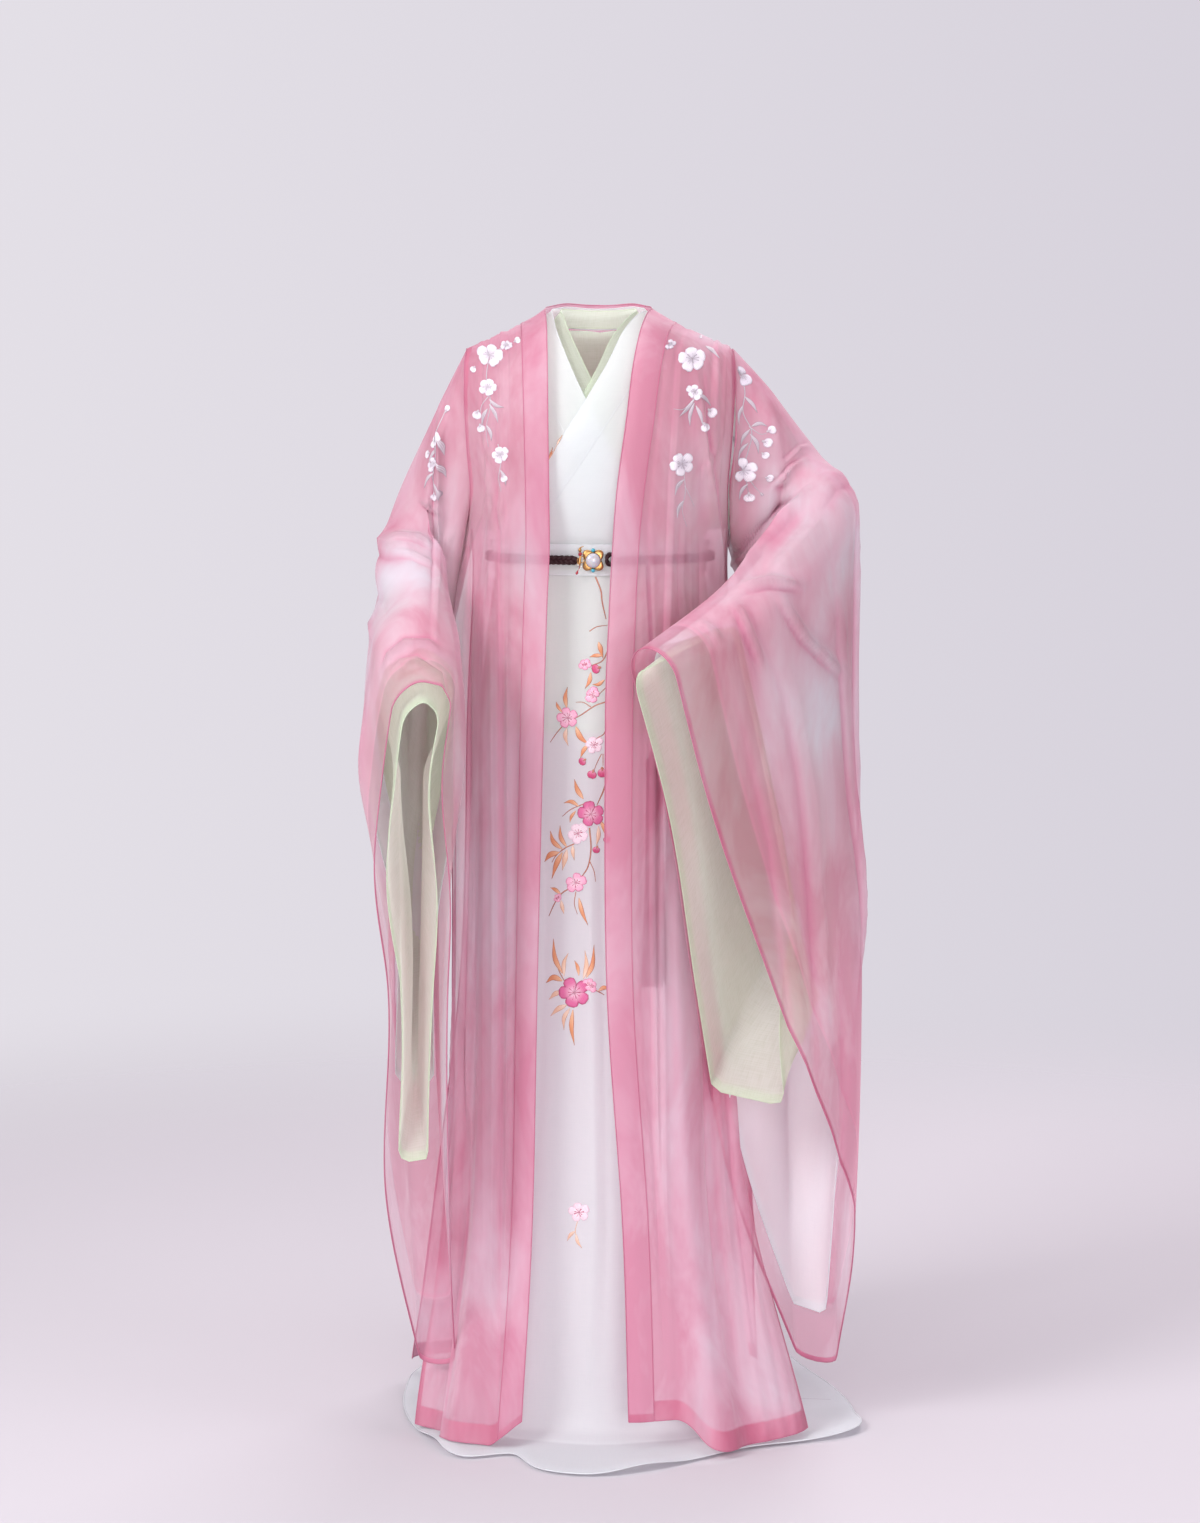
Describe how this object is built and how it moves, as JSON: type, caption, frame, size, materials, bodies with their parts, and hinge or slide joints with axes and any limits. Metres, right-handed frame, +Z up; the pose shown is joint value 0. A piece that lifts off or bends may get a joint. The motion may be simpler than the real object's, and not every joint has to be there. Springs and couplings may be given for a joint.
{
  "type": "hanfu robe",
  "caption": "Three-layer hanfu on a hollow worn form: sheer open outer robe with great sleeves over a crossed white robe and a green under-robe, with waistband, belt cord, buckle and tassel.",
  "frame": {"origin": "middle of the neck opening, 1.500 m above the floor that the hems reach", "axes": "+Z up along the wearer, the front faces -Y, +X to the wearer's left"},
  "size_m": [0.6681, 0.6962, 1.5125],
  "materials": {
    "outer_silk": "sheer pink silk gauze, cloud-dyed with lilac-white patches",
    "robe_white": "soft white silk cotton, embroidered in coloured thread",
    "under_green": "pale green cotton lawn",
    "belt_cord": "dark red-brown braided cord",
    "gilt": "polished gilt brass",
    "stone": "polished milky stone",
    "stone_red": "polished dark red bead",
    "turquoise": "polished turquoise bead",
    "tassel": "dark plum silk thread"
  },
  "bodies": {
    "root": {"outer_body_left": "outer_silk", "outer_body_right": "outer_silk", "outer_collar_left": "outer_silk", "outer_collar_right": "outer_silk", "outer_sleeve_left": "outer_silk", "outer_sleeve_right": "outer_silk", "robe_body_left": "robe_white", "robe_body_right": "robe_white", "robe_collar_left": "robe_white", "robe_collar_right": "robe_white", "robe_sleeve_left": "robe_white", "robe_sleeve_right": "robe_white", "under_body_left": "under_green", "under_body_right": "under_green", "under_collar_left": "under_green", "under_collar_right": "under_green", "under_sleeve_left": "under_green", "under_sleeve_right": "under_green", "robe_skirt_front": "robe_white", "robe_skirt_back": "robe_white", "robe_waistband": "robe_white", "belt_cord": "belt_cord", "belt_knot": "belt_cord", "buckle_setting": "gilt", "buckle_stone": "stone", "buckle_bead_top": "turquoise", "buckle_bead_foot": "turquoise", "charm_gilt": "gilt", "charm_bead": "stone_red", "charm_drop": "stone_red", "tassel_cord": "belt_cord", "tassel": "tassel"}
  },
  "joints": []
}
